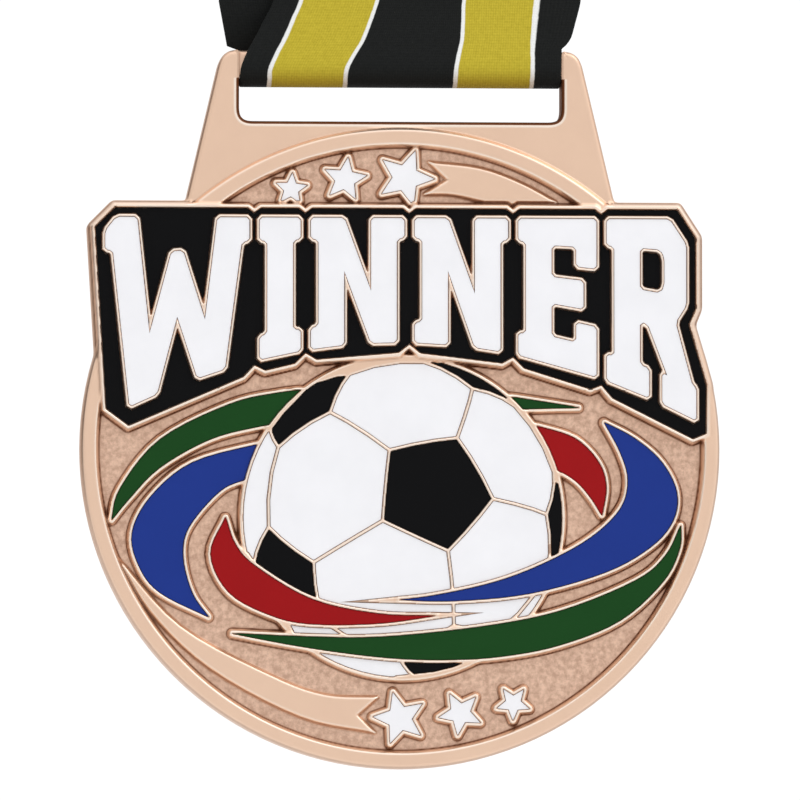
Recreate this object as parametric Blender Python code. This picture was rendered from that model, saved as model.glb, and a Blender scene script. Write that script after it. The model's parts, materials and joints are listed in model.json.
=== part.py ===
"""Sports medal on a folded neck ribbon.

A die-cast plate, with coloured enamel set into its face, hangs by the bar above its slot in the
bottom fold of a wide neck ribbon. The rest of the ribbon is folded into a flat hank above it.

The face looks towards -Y and +Z is up. The origin is the top of the hank, where a peg holds it.
Constants are in millimetres. Flat outlines are (x, z) points about the centre of the disc, and run
anticlockwise as seen from the front. Heights run forwards from the flat back of the disc."""

import math

import bmesh
import bpy
import numpy as np

MM = 0.001

# Disc and its rim. The artwork is drawn for DRAWN_RADIUS and grows with the disc.
DISC_RADIUS = 38.0
DRAWN_RADIUS = 38.0
ARTWORK = DISC_RADIUS / DRAWN_RADIUS
FIELD_HEIGHT = 3.2
RIM_WIDTH = 2.0
RIM_HEIGHT = 4.6
BACK_RECESS_RADIUS = DISC_RADIUS - 4.0
BACK_RECESS_DEPTH = 0.4

# Head plate above the disc, with the ribbon slot and the bar over it.
HEAD_RISE = 9.4
HEAD_HEIGHT = 4.0
HEAD_FLARE = 0.236
HEAD_CORNER = 1.8
EAR_WIDTH = 2.05
BAR_SIZE = 3.3
BAR_CHAMFER = 0.9
BAR_INSET = 0.05
SLOT_SIZE = 5.2
SLOT_CORNER = 1.3

# Neck ribbon: a strip folded round the bar, then zigzagged into a hank that a band holds.
RIBBON_WIDTH = 37.8
RIBBON_THICKNESS = 0.45
RIBBON_SIDE_CLEARANCE = 0.3
RIBBON_BAR_CLEARANCE = 0.15
RIBBON_LENGTH = 813.0
RIBBON_LAP = 13.0
STRAND_RISE = 11.6
STRAND_GAP = 0.5
STRAND_LEAN = 2.2
HANK_RUNS = 8
HANK_LAYER = 0.55
PIECE_GAP = 0.3
BAND_WIDTH = 8.0
BAND_THICKNESS = 0.8
STITCH_SIZE = (30.0, 9.0, 0.4)
SEAM_BELOW_BAND = 3.0
HANK_BEND = 2.0
HANK_CORNER = 0.4
BAND_CORNER = 1.2

# Enamel: metal lines between the cells, the fit of each fill, and the heights of the raised work.
LINE = 0.35
LETTER_LINE = 0.3
ENAMEL_GAP = 0.06
ENAMEL_DROP = 0.2
CELL_FLOOR = 3.4
BALL_HEIGHT = 4.3
BACK_SWOOSH_HEIGHT = 4.15
FRONT_SWOOSH_HEIGHT = 4.45
STAR_HEIGHT = 4.1
TAIL_HEIGHT = 3.8
BANNER_HEIGHT = 4.9
BANNER_ENAMEL_HEIGHT = 4.4
BANNER_FLOOR = 3.6
BANNER_BORDER = 0.85
LETTER_HEIGHT = 5.2
LETTER_FLOOR = 4.1

# Banner lettering: a flat top edge, and a bottom edge that falls away from the middle as an arch.
BANNER_HALF_WIDTH = 35.2
BANNER_TOP = 27.4
BANNER_WAIST = 12.5
BANNER_ARCH = 0.00744
LETTER_SPACE = 1.1
STROKE = 3.5
SERIF = 1.0
SERIF_SHARE = 0.17
LETTER_CORNER = 0.35
BLACK_MARGIN = 1.15
BLACK_DROP = 1.2
NOTCH_ABOVE = 0.6
NOTCH_BELOW = 1.0

# The ball is drawn in perspective, from BALL_VIEW radii away.
BALL_CENTRE = (0.24, -8.2)
BALL_RADIUS = 18.95
BALL_VIEW = 5.0
PENTAGON_SHARE = 0.31
BALL_TILT = (0.175, 0.145)
BALL_SPIN = 12.0

SLOT_HALF = RIBBON_WIDTH / 2 + RIBBON_SIDE_CLEARANCE
HEAD_TOP = DISC_RADIUS + HEAD_RISE
BAR_Z = HEAD_TOP - BAR_SIZE / 2
BAR_REACH = math.hypot(BAR_SIZE / 2 - BAR_CHAMFER, HEAD_HEIGHT / 2)
FOLD_RADIUS = BAR_REACH + RIBBON_BAR_CLEARANCE + RIBBON_THICKNESS / 2
RUN_LENGTH = ((RIBBON_LENGTH - RIBBON_LAP) / 2 - math.pi * FOLD_RADIUS / 2 - STRAND_RISE) / HANK_RUNS
HANK_HEIGHT = RUN_LENGTH
HANK_THICKNESS = 2 * HANK_RUNS * HANK_LAYER
DROP = HANK_HEIGHT + STRAND_RISE
SLAB_BASE = 1.0
DEEP = 10.0


def curve(points, steps=5):
    """Points on a smooth curve through the given ones (a Catmull-Rom spline)."""
    known = np.array(points, float)
    first, last = 2 * known[0] - known[1], 2 * known[-1] - known[-2]
    known = np.vstack([first, known, last])
    t = np.linspace(0, 1, steps, endpoint=False)[:, None]
    found = []
    for a, b, c, d in zip(known, known[1:], known[2:], known[3:]):
        cubic = 3 * b - a - 3 * c + d
        found.append(b + 0.5 * ((c - a) * t + (2 * a - 5 * b + 4 * c - d) * t**2 + cubic * t**3))
    return np.vstack(found + [known[-2:-1]])


def anticlockwise(points):
    """The points as a loop that runs anticlockwise, with repeated points dropped."""
    loop = np.asarray(points, float)
    repeated = np.linalg.norm(loop - np.roll(loop, 1, axis=0), axis=1) < 1e-6
    loop = loop[~repeated]
    x, z = loop.T
    clockwise = np.sum(x * np.roll(z, -1) - np.roll(x, -1) * z) < 0
    return loop[::-1] if clockwise else loop


def swoosh(outer, inner):
    """A leaf-shaped outline between two curves. They meet at a tip where their ends agree."""
    return anticlockwise(np.vstack([curve(outer), curve(inner)[::-1]]) * ARTWORK)


def circle(radius, centre=(0.0, 0.0), sides=96):
    angle = np.arange(sides) * 2 * math.pi / sides
    return np.stack([centre[0] + radius * np.cos(angle), centre[1] + radius * np.sin(angle)], axis=1)


def rounded(outline, radius, steps=3):
    """An anticlockwise outline with its corners cut back by the radius and bent round in a few steps.

    A narrow notch, of less than 60 degrees, keeps its sharp corner."""
    loop = np.array(outline, float)
    found = []
    for before, corner, after in zip(np.roll(loop, 1, axis=0), loop, np.roll(loop, -1, axis=0)):
        back, on = before - corner, after - corner
        narrow = back @ on > 0.5 * np.linalg.norm(back) * np.linalg.norm(on)
        if narrow and on[0] * back[1] - on[1] * back[0] < 0:
            found.append(corner)
            continue
        ends = []
        for other in (before, after):
            length = np.linalg.norm(other - corner)
            ends.append(corner + (other - corner) * min(radius, 0.45 * length) / length)
        for t in np.linspace(0, 1, steps):
            found.append((1 - t) ** 2 * ends[0] + 2 * t * (1 - t) * corner + t**2 * ends[1])
    return np.array(found)


def grown(outline, distance):
    """The outline moved outwards by the distance, or inwards where it is negative.

    Each corner moves along its bisector, and one that ends up too near the old outline is dropped,
    so a sharp tip is shortened and never crosses itself."""
    loop = np.asarray(outline, float)
    edge = np.roll(loop, -1, axis=0) - loop
    normal = np.stack([edge[:, 1], -edge[:, 0]], axis=1) / np.linalg.norm(edge, axis=1, keepdims=True)
    bisector = normal + np.roll(normal, 1, axis=0)
    bisector /= np.maximum(1e-9, (bisector * normal).sum(axis=1, keepdims=True))
    moved = loop + distance * bisector
    keep = []
    for point in moved:
        along = ((point - loop) * edge).sum(axis=1) / (edge**2).sum(axis=1)
        nearest = loop + edge * np.clip(along, 0, 1)[:, None]
        keep.append(np.linalg.norm(point - nearest, axis=1).min() > 0.98 * abs(distance) - 1e-9)
    return moved[np.array(keep)]


# Scene, materials and solids.

for old in list(bpy.data.objects):
    bpy.data.objects.remove(old)


def finish(name, colour, roughness, metallic=0.0):
    """A material with one Principled shader."""
    material = bpy.data.materials.new(name)
    material.use_nodes = True
    shader = material.node_tree.nodes["Principled BSDF"]
    shader.inputs["Base Color"].default_value = (*colour, 1)
    shader.inputs["Roughness"].default_value = roughness
    shader.inputs["Metallic"].default_value = metallic
    return material


BRONZE = finish("antique_bronze", (0.72, 0.50, 0.37), 0.35, 1.0)
WHITE = finish("white_enamel", (0.90, 0.90, 0.92), 0.2)
BLACK = finish("black_enamel", (0.008, 0.008, 0.008), 0.2)
GREEN = finish("green_enamel", (0.016, 0.085, 0.014), 0.2)
BLUE = finish("blue_enamel", (0.018, 0.045, 0.29), 0.2)
RED = finish("red_enamel", (0.35, 0.010, 0.016), 0.2)
RIBBON = finish("woven_ribbon", (0.015, 0.016, 0.016), 0.85)
ELASTIC = finish("band_elastic", (0.02, 0.02, 0.02), 0.8)
THREAD = finish("thread", (0.03, 0.03, 0.03), 0.7)


def empty(name, parent, location):
    pivot = bpy.data.objects.new(name, None)
    pivot.location = location
    pivot.parent = parent
    bpy.context.collection.objects.link(pivot)
    return pivot


hang_point = empty("hang_point", None, (0, 0, 0))
medal_pivot = empty("medal_pivot", hang_point, (0, 0, -DROP * MM))
disc_centre = empty("disc_centre", medal_pivot, (0, HEAD_HEIGHT / 2 * MM, -BAR_Z * MM))


def new_object(name, mesh, parent, material=None):
    obj = bpy.data.objects.new(name, mesh)
    obj.parent = parent
    if material:
        mesh.materials.append(material)
    bpy.context.collection.objects.link(obj)
    return obj


def prism_mesh(name, outline, low, high):
    """A closed prism on the outline, between two heights above the back of the disc."""
    mesh = bpy.data.meshes.new(name)
    loop = np.asarray(outline, float)
    count = len(loop)
    front = [(x * MM, -high * MM, z * MM) for x, z in loop]
    back = [(x * MM, -low * MM, z * MM) for x, z in loop]
    sides = [(i, i + count, (i + 1) % count + count, (i + 1) % count) for i in range(count)]
    faces = [tuple(range(count)), tuple(range(2 * count - 1, count - 1, -1))] + sides
    mesh.from_pydata(front + back, [], faces)
    return mesh


def cutter(outline, low, high, parent=disc_centre):
    """A hidden prism for a Boolean modifier."""
    obj = new_object("cutter", prism_mesh("cutter", outline, low, high), parent)
    obj.hide_render = True
    obj.display_type = "WIRE"
    return obj


def combine(obj, other, operation):
    modifier = obj.modifiers.new(operation.lower(), "BOOLEAN")
    modifier.operation = operation
    modifier.solver = "EXACT"
    modifier.object = other


def settle(obj):
    """Applies the object's modifiers."""
    graph = bpy.context.evaluated_depsgraph_get()
    mesh = bpy.data.meshes.new_from_object(obj.evaluated_get(graph))
    obj.modifiers.clear()
    obj.data = mesh


def keep_island(obj, seed):
    """Keeps the one separate body of a mesh whose front lies nearest to the seed, an (x, z) point."""
    settle(obj)
    work = bmesh.new()
    work.from_mesh(obj.data)
    islands, left = [], set(work.verts)
    while left:
        island, edge_of = set(), [left.pop()]
        while edge_of:
            vert = edge_of.pop()
            island.add(vert)
            for edge in vert.link_edges:
                other = edge.other_vert(vert)
                if other in left:
                    left.discard(other)
                    edge_of.append(other)
        islands.append(island)
    target = np.array(seed) * MM

    def distance(island):
        middle = np.mean([(v.co.x, v.co.z) for v in island], axis=0)
        return np.linalg.norm(middle - target)

    kept = min(islands, key=distance)
    bmesh.ops.delete(work, geom=[v for v in work.verts if v not in kept], context="VERTS")
    work.to_mesh(obj.data)
    work.free()


# Artwork: the swooshes, the stars with their tails, the ball's panels and the banner.

SWOOSHES = {
    "green_left": (
        [(-9, 7.2), (-14.5, 6.6), (-20.4, 5.2), (-28.6, 1.0), (-33.3, -4.8), (-34.4, -8.8)],
        [(-11, 3.5), (-16.5, 2.6), (-22.6, 1.0), (-28.6, -2.4), (-32.3, -6.2), (-34.4, -8.8)],
    ),
    "blue_left": (
        [(-12, 1.5), (-16.4, 0.6), (-24.7, -1.7), (-29.7, -5.8), (-31.9, -10.1), (-31.1, -14.0),
         (-28.6, -17.2), (-22.6, -20.2)],
        [(-14, -2.2), (-18.3, -3.7), (-21.5, -5.2), (-25.1, -9.4), (-25.8, -12.9), (-24.7, -17.2),
         (-22.6, -20.2)],
    ),
    "red_right": (
        [(14, 3.2), (16.5, 2.7), (20.8, 1.3), (23.6, -1.5), (24.5, -4.4), (24.0, -8.0)],
        [(15.5, -1.8), (18.3, -2.4), (20.8, -3.8), (22.6, -5.8), (24.0, -8.0)],
    ),
    "green_right": (
        [(10, 6.6), (14, 6.1), (21.9, 4.9)],
        [(10, 4.4), (14, 4.7), (21.9, 4.9)],
    ),
    "red_left": (
        [(-20.8, -8.1), (-22.6, -12.6), (-20.4, -17.2), (-15.4, -19.9), (-10.5, -20.9),
         (-2.5, -20.8), (4.8, -19.8)],
        [(-20.8, -8.1), (-19.6, -11.4), (-17.2, -14.0), (-10.5, -17.9), (-2.5, -19.6), (4.8, -19.8)],
    ),
    "blue_right": (
        [(24.1, 3.3), (27.9, 1.3), (31.1, -1.5), (32.9, -5.1), (32.4, -8.6), (29.7, -11.7),
         (24.3, -14.7), (15.4, -17.2), (6.5, -18.1), (-1.0, -18.0)],
        [(24.1, 3.3), (26.1, -0.4), (27.0, -3.7), (26.1, -7.1), (22.6, -10.5), (17.2, -13.5),
         (11.2, -15.8), (4.0, -17.4), (-1.0, -18.0)],
    ),
    "green_bottom": (
        [(-20.8, -21.9), (-11.6, -22.3), (-2.5, -22.35), (9.6, -21.1), (19.0, -19.2), (27.9, -15.6),
         (31.5, -12.6), (33.4, -8.8)],
        [(-20.8, -21.9), (-11.6, -23.6), (-2.4, -24.8), (4.8, -25.1), (11.9, -24.7), (19.0, -23.3),
         (26.1, -20.4), (31.2, -15.8), (33.2, -11.9), (33.4, -8.8)],
    ),
}
FRONT_SWOOSHES = ("red_left", "blue_right", "green_bottom")
SWOOSH_FINISH = {"green": GREEN, "blue": BLUE, "red": RED}

# Each star: its centre, its radius and its turn in degrees.
STARS = {
    "star_top_small": ((-13.0, 30.8), 3.0, -4),
    "star_top_medium": ((-6.6, 32.0), 3.7, -8),
    "star_top_large": ((0.6, 32.2), 4.5, -20),
    "star_bottom_large": ((-0.1, -32.0), 4.25, 15),
    "star_bottom_medium": ((7.1, -31.4), 3.7, 29),
    "star_bottom_small": ((13.4, -30.2), 3.1, 35),
}
STAR_WAIST = 0.45

# The tails that the two large stars trail, each with a notch at the star's end.
TAILS = (
    [(-2.7, -29.5), (-9.0, -29.2), (-15.4, -26.9), (-26.1, -21.1), (-33.6, -13.0)],
    [(-3.0, -33.7), (-11.9, -31.8), (-22.6, -26.1), (-29.7, -19.4), (-33.6, -13.0)],
    (-5.1, -31.6),
), (
    [(3.4, 34.1), (9.5, 33.4), (14.5, 31.6), (19.1, 29.1)],
    [(2.9, 30.3), (6.5, 30.2), (11.2, 29.1)],
    (5.6, 32.0),
)


def star(centre, radius, turn):
    angle = np.radians(90 + turn) + np.arange(10) * math.pi / 5
    reach = np.where(np.arange(10) % 2 == 0, radius, radius * STAR_WAIST) * ARTWORK
    middle = np.array(centre) * ARTWORK
    return middle + np.stack([reach * np.cos(angle), reach * np.sin(angle)], axis=1)


def tail(upper, lower, notch):
    """A band between two curves, with a V cut into the end where they start."""
    return anticlockwise(np.vstack([curve(upper), curve(lower)[::-1], [notch]]) * ARTWORK)


def ball_faces():
    """The corners of each panel of a ball, as directions: 12 pentagons and 20 hexagons.

    The corners lie PENTAGON_SHARE of the way along the edges of an icosahedron, whose first corner
    is turned to face the viewer, spun by BALL_SPIN and then leaned by BALL_TILT."""
    golden = (1 + math.sqrt(5)) / 2
    signs = [(a, b * golden) for a in (-1, 1) for b in (-1, 1)]
    corners = np.array([c for a, b in signs for c in ((0, a, b), (a, b, 0), (b, 0, a))], float)
    corners /= np.linalg.norm(corners[0])
    toward = corners[0]
    right = np.cross((0, 0, 1), toward)
    right /= np.linalg.norm(right)
    corners = corners @ np.stack([right, np.cross(toward, right), toward], axis=1)
    cos, sin = math.cos(math.radians(BALL_SPIN)), math.sin(math.radians(BALL_SPIN))
    corners = corners @ np.array([[cos, sin, 0], [-sin, cos, 0], [0, 0, 1]])
    lean = np.array([*BALL_TILT, math.sqrt(1 - np.dot(BALL_TILT, BALL_TILT))])
    side = np.cross((0, 0, 1), lean)
    angle = math.asin(np.linalg.norm(side))
    side /= np.linalg.norm(side)
    turned = np.cross(side, corners)
    along = np.outer(corners @ side, side) * (1 - math.cos(angle))
    corners = corners * math.cos(angle) + turned * math.sin(angle) + along
    apart = np.linalg.norm(corners[:, None] - corners[None], axis=2)
    edge = apart[apart > 0.1].min() * 1.1
    near = [[j for j in range(12) if j != i and apart[i, j] < edge] for i in range(12)]

    def between(i, j):
        point = corners[i] * (1 - PENTAGON_SHARE) + corners[j] * PENTAGON_SHARE
        return point / np.linalg.norm(point)

    faces = [(corners[i], [between(i, j) for j in near[i]]) for i in range(12)]
    for i in range(12):
        for j in near[i]:
            for k in near[i]:
                if i < j < k and k in near[j]:
                    pairs = ((i, j), (j, i), (j, k), (k, j), (k, i), (i, k))
                    middle = corners[i] + corners[j] + corners[k]
                    faces.append((middle, [between(*pair) for pair in pairs]))
    return faces


def panel(middle, ring, radius, steps=3):
    """A panel's outline on the disc. What lies past the ball's edge is laid out beyond the circle."""
    middle = middle / np.linalg.norm(middle)
    right = np.cross((0.3, 0.5, 0.8), middle)
    up = np.cross(middle, right)
    ring = sorted(ring, key=lambda p: math.atan2(p @ up, p @ right))
    limb = math.acos(1 / BALL_VIEW)
    loop = []
    for a, b in zip(ring, ring[1:] + ring[:1]):
        for t in np.linspace(0, 1, steps, endpoint=False):
            point = a * (1 - t) + b * t
            point /= np.linalg.norm(point)
            flat = math.hypot(point[0], point[1])
            angle = math.atan2(flat, point[2])
            seen = math.sin(angle) * math.sqrt(BALL_VIEW**2 - 1) / (BALL_VIEW - math.cos(angle))
            reach = seen if angle < limb else 1 + angle - limb
            loop.append(point[:2] / flat * reach * radius)
    return anticlockwise(loop) + np.array(BALL_CENTRE) * ARTWORK


def letters():
    """The banner's six block letters: for each, its width, its outline and its counters.

    Points are (x, share of the letter's height). The word is a plain one, WINNER."""
    s, g, h = STROKE, SERIF, SERIF_SHARE
    wide, middle = 19.0, 9.5
    letter_w = [
        (1.5, 1), (0, 0.93), (0, 1 - h), (g, 1 - h), (g + 2.2, 0), (g + 5.9, 0), (middle, 0.40),
        (wide - g - 5.9, 0), (wide - g - 2.2, 0), (wide - g, 1 - h), (wide, 1 - h), (wide, 1),
        (wide - g - 3.3, 1), (wide - g - 4.9, 0.37), (middle + 0.8, 0.80), (middle - 0.8, 0.80),
        (g + 4.9, 0.37), (g + 3.3, 1),
    ]
    stem = s + 2 * g
    letter_i = [
        (0, 1), (0, 1 - h), (g, 1 - h), (g, h), (0, h), (0, 0), (stem, 0), (stem, h), (stem - g, h),
        (stem - g, 1 - h), (stem, 1 - h), (stem, 1),
    ]
    full = 12.4
    letter_n = [
        (0, 1), (0, 1 - h), (g, 1 - h), (g, h), (0, h), (0, 0), (g + s, 0), (g + s, 0.56),
        (full - g - s, 0), (full - g, 0), (full - g, 1 - h), (full, 1 - h), (full, 1),
        (full - g - s, 1), (full - g - s, 0.44), (g + s, 1),
    ]
    plain = 10.4
    letter_e = [
        (0, 1), (0, 1 - h), (g, 1 - h), (g, h), (0, h), (0, 0), (plain, 0), (plain, 0.32),
        (plain - 2.8, 0.32), (plain - 2.8, h + 0.02), (g + s, h + 0.02), (g + s, 0.41),
        (plain - 1.7, 0.41), (plain - 1.7, 0.60), (g + s, 0.60), (g + s, 0.98 - h),
        (plain - 2.8, 0.98 - h), (plain - 2.8, 0.68), (plain, 0.68), (plain, 1),
    ]
    leg = 11.9
    bowl = leg - 1.3
    letter_r = [
        (0, 1), (0, 1 - h), (g, 1 - h), (g, h), (0, h), (0, 0), (stem + 0.2, 0), (stem + 0.2, h),
        (g + s, h), (g + s, 0.41), (g + s + 0.9, 0.41), (leg - 4.0, h), (leg - 4.6, h),
        (leg - 4.6, 0), (leg, 0), (leg, h), (leg - 0.5, h), (bowl - 1.4, 0.46), (bowl, 0.56),
        (bowl, 0.87), (bowl - 2.2, 1),
    ]
    counter = [
        (g + s, 0.60), (bowl - s, 0.60), (bowl - s + 0.5, 0.64), (bowl - s + 0.5, 0.79),
        (bowl - s, 0.83), (g + s, 0.83),
    ]
    return (
        (wide, letter_w, None), (stem, letter_i, None), (full, letter_n, None),
        (full, letter_n, None), (plain, letter_e, None), (leg, letter_r, counter),
    )


def banner_point(x, share, drop=0.0):
    """Where a point of the lettering lies: its share of the height from the arched lower edge up."""
    low = BANNER_WAIST - BANNER_ARCH * x**2 - drop
    return x * ARTWORK, (low + share * (BANNER_TOP - low)) * ARTWORK


def lettering():
    """Each letter's place: its left and right ends, its outline and its counter's outline."""
    found = letters()
    total = sum(width for width, _, _ in found)
    squeeze = (2 * BANNER_HALF_WIDTH - LETTER_SPACE * (len(found) - 1)) / total
    left = -BANNER_HALF_WIDTH
    placed = []
    for width, outline, counter in found:
        shapes = []
        for shape in (outline, counter):
            points = [banner_point(left + x * squeeze, share) for x, share in shape or ()]
            shapes.append(rounded(anticlockwise(points), LETTER_CORNER, 2) if points else None)
        placed.append((left, left + width * squeeze, *shapes))
        left += width * squeeze + LETTER_SPACE
    return placed


def banner_outline(placed):
    """The edge of the black ground: notched between the letters, and lowest beneath the end ones."""
    right_end = placed[-1][1] + BLACK_MARGIN

    def below(x, lift=0.0):
        return banner_point(x, 0, BLACK_MARGIN + BLACK_DROP * (x / BANNER_HALF_WIDTH) ** 2 - lift)

    def above(x, cut=0.0):
        return x * ARTWORK, (BANNER_TOP + BLACK_MARGIN - cut) * ARTWORK

    lower, upper = [], []
    for before, after in zip(placed, placed[1:]):
        joint = (before[1] + after[0]) / 2
        lower += [below(joint - 1.3), below(joint, NOTCH_BELOW), below(joint + 1.3)]
        upper += [above(joint - 0.8), above(joint, NOTCH_ABOVE), above(joint + 0.8)]
    left_end = placed[0][0] - BLACK_MARGIN
    left_side = [
        above(left_end + 2.4), above(left_end, 2.4), banner_point(left_end + 1.3, 0.05),
        below(left_end + 4.0),
    ]
    right_side = [
        below(right_end - 1.6), below(right_end, 1.6), banner_point(right_end + 0.1, 0.2),
        banner_point(right_end - 2.0, 0.47), banner_point(right_end - 1.2, 0.56),
        above(right_end - 1.2, 3.4), above(right_end - 3.4),
    ]
    return np.array(left_side + lower + right_side + upper[::-1])


# The cast plate.

PLACED = lettering()
BANNER = banner_outline(PLACED)
BALL = circle(BALL_RADIUS * ARTWORK, np.array(BALL_CENTRE) * ARTWORK, 72)
BALL_PANELS = {
    "ball_black_middle": (4.0, -5.1),
    "ball_black_upper_left": (-11.1, 5.2),
    "ball_black_lower_left": (-13.8, -14.1),
    "ball_black_right": (18.5, -8.2),
    "ball_black_bottom": (3.2, -25.7),
    "ball_black_upper_right": (9.6, 7.7),
    "ball_white_left": (-8.9, -4.5),
    "ball_white_top": (0.4, 6.1),
    "ball_white_lower_left": (-0.5, -16.7),
    "ball_white_lower_right": (12.2, -12.4),
    "ball_white_upper_right": (12.8, -0.4),
    "ball_white_far_left": (-17.1, -5.4),
    "ball_white_strip_left": (-0.9, -21.2),
    "ball_white_strip_right": (10.1, -19.1),
    "ball_white_strip_far_left": (-10.6, -21.5),
    "ball_white_strip_far_right": (15.5, -18.8),
    "ball_white_bottom": (-3.9, -25.7),
}


def inside(outline, point):
    """Whether the point is inside the outline: a ray to its right crosses it an odd number of times."""
    x, z = point
    a, b = np.asarray(outline), np.roll(outline, -1, axis=0)
    spans = (a[:, 1] > z) != (b[:, 1] > z)
    crossing = a[:, 0] + (z - a[:, 1]) * (b[:, 0] - a[:, 0]) / np.where(spans, b[:, 1] - a[:, 1], 1)
    return np.sum(spans & (crossing > x)) % 2 == 1


def head_outline():
    """The trapezoid plate over the disc, its upper corners rounded."""
    top = SLOT_HALF + EAR_WIDTH
    foot_z = DISC_RADIUS * 0.5
    foot = top + (HEAD_TOP - foot_z) * HEAD_FLARE
    corners = [(-foot, foot_z), (foot, foot_z), (top, HEAD_TOP), (-top, HEAD_TOP)]
    ends = rounded(corners, HEAD_CORNER, 4)
    return np.vstack([corners[:2], ends[8:]])


def slot_outline():
    """The slot, open at the top, where the bar closes it."""
    low = BAR_Z - BAR_SIZE / 2 - SLOT_SIZE
    high = HEAD_TOP + SLOT_CORNER * 2
    corners = [(-SLOT_HALF, low), (SLOT_HALF, low), (SLOT_HALF, high), (-SLOT_HALF, high)]
    return rounded(corners, SLOT_CORNER, 5)


def bar_mesh():
    """The bar over the slot: a chamfered section carried along X, its ends buried in the ears."""
    mesh = bpy.data.meshes.new("bar")
    half_z, half_y = BAR_SIZE / 2 - BAR_INSET, HEAD_HEIGHT / 2 - BAR_INSET
    cut = BAR_CHAMFER
    section = [
        (half_y, -half_z + cut), (half_y, half_z - cut), (half_y - cut, half_z),
        (-half_y + cut, half_z), (-half_y, half_z - cut), (-half_y, -half_z + cut),
        (-half_y + cut, -half_z), (half_y - cut, -half_z),
    ]
    reach = SLOT_HALF + EAR_WIDTH / 2
    count = len(section)
    ring = [(y - HEAD_HEIGHT / 2, z + BAR_Z) for y, z in section]
    points = [(x * MM, y * MM, z * MM) for x in (-reach, reach) for y, z in ring]
    sides = [(i, (i + 1) % count, (i + 1) % count + count, i + count) for i in range(count)]
    mesh.from_pydata(points, [], [tuple(range(count))[::-1], tuple(range(count, 2 * count))] + sides)
    work = bmesh.new()
    work.from_mesh(mesh)
    bmesh.ops.recalc_face_normals(work, faces=work.faces)
    work.to_mesh(mesh)
    work.free()
    return mesh


def raise_work(body, outline, height, low=SLAB_BASE):
    combine(body, cutter(outline, low, height), "UNION")


def sink(body, outline, floor):
    combine(body, cutter(outline, floor, DEEP), "DIFFERENCE")


def ball_panel_outlines():
    """Each named panel's full outline on the ball, found by its seed point."""
    outlines = [panel(middle, ring, BALL_RADIUS * ARTWORK) for middle, ring in ball_faces()
                if max(point[2] for point in ring) > 0]
    found = {}
    for name, seed in BALL_PANELS.items():
        place = np.array(seed) * ARTWORK
        found[name] = next(o for o in outlines if inside(o, place))
    return found


PANELS = ball_panel_outlines()
OUTLINES = {name: swoosh(*curves) for name, curves in SWOOSHES.items()}


def pocket(name):
    """A hidden cutter for one panel of the ball, which stops at the ball's edge."""
    cell = cutter(grown(PANELS[name], -LINE / 2), CELL_FLOOR, DEEP)
    combine(cell, cutter(BALL, 0, DEEP + 1), "INTERSECT")
    return cell


body = new_object("medal_body", prism_mesh("medal_body", circle(DISC_RADIUS, sides=128), 0, RIM_HEIGHT),
                  disc_centre, BRONZE)
raise_work(body, head_outline(), HEAD_HEIGHT, 0)
sink(body, circle(DISC_RADIUS - RIM_WIDTH, sides=128), FIELD_HEIGHT)
for curves in TAILS:
    raise_work(body, tail(*curves), TAIL_HEIGHT)
for placing in STARS.values():
    raise_work(body, star(*placing), STAR_HEIGHT)
    sink(body, grown(star(*placing), -LINE), CELL_FLOOR)
for name, outline in OUTLINES.items():
    if name not in FRONT_SWOOSHES:
        raise_work(body, grown(outline, LINE), BACK_SWOOSH_HEIGHT)
        sink(body, outline, CELL_FLOOR)
raise_work(body, grown(BALL, LINE), BALL_HEIGHT)
done = []
for name, outline in PANELS.items():
    if not any(outline is other for other in done):
        combine(body, pocket(name), "DIFFERENCE")
        done.append(outline)
for name in FRONT_SWOOSHES:
    raise_work(body, grown(OUTLINES[name], LINE), FRONT_SWOOSH_HEIGHT)
    sink(body, OUTLINES[name], CELL_FLOOR)
raise_work(body, grown(BANNER, BANNER_BORDER), BANNER_HEIGHT, 0)
sink(body, BANNER, BANNER_FLOOR)
for _, _, outline, counter in PLACED:
    raise_work(body, grown(outline, LETTER_LINE), LETTER_HEIGHT)
    fill = cutter(outline, LETTER_FLOOR, DEEP)
    if counter is not None:
        combine(fill, cutter(counter, 0, DEEP + 1), "DIFFERENCE")
        sink(body, grown(counter, -LETTER_LINE), BANNER_FLOOR)
    combine(body, fill, "DIFFERENCE")
combine(body, cutter(slot_outline(), -1, DEEP), "DIFFERENCE")
bar = new_object("cutter", bar_mesh(), disc_centre)
bar.hide_render = True
bar.display_type = "WIRE"
combine(body, bar, "UNION")
combine(body, cutter(circle(BACK_RECESS_RADIUS), -1, BACK_RECESS_DEPTH), "DIFFERENCE")
settle(body)


# The enamel, one piece for each cell.


def enamel(name, outline, floor, height, material):
    mesh = prism_mesh(name, grown(outline, -ENAMEL_GAP), floor + ENAMEL_GAP, height)
    return new_object(name, mesh, disc_centre, material)


def trim(piece, outline, line):
    """Cuts a piece back from a metal line that runs outside the outline."""
    combine(piece, cutter(grown(grown(outline, line), ENAMEL_GAP), 0, DEEP), "DIFFERENCE")


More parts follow.
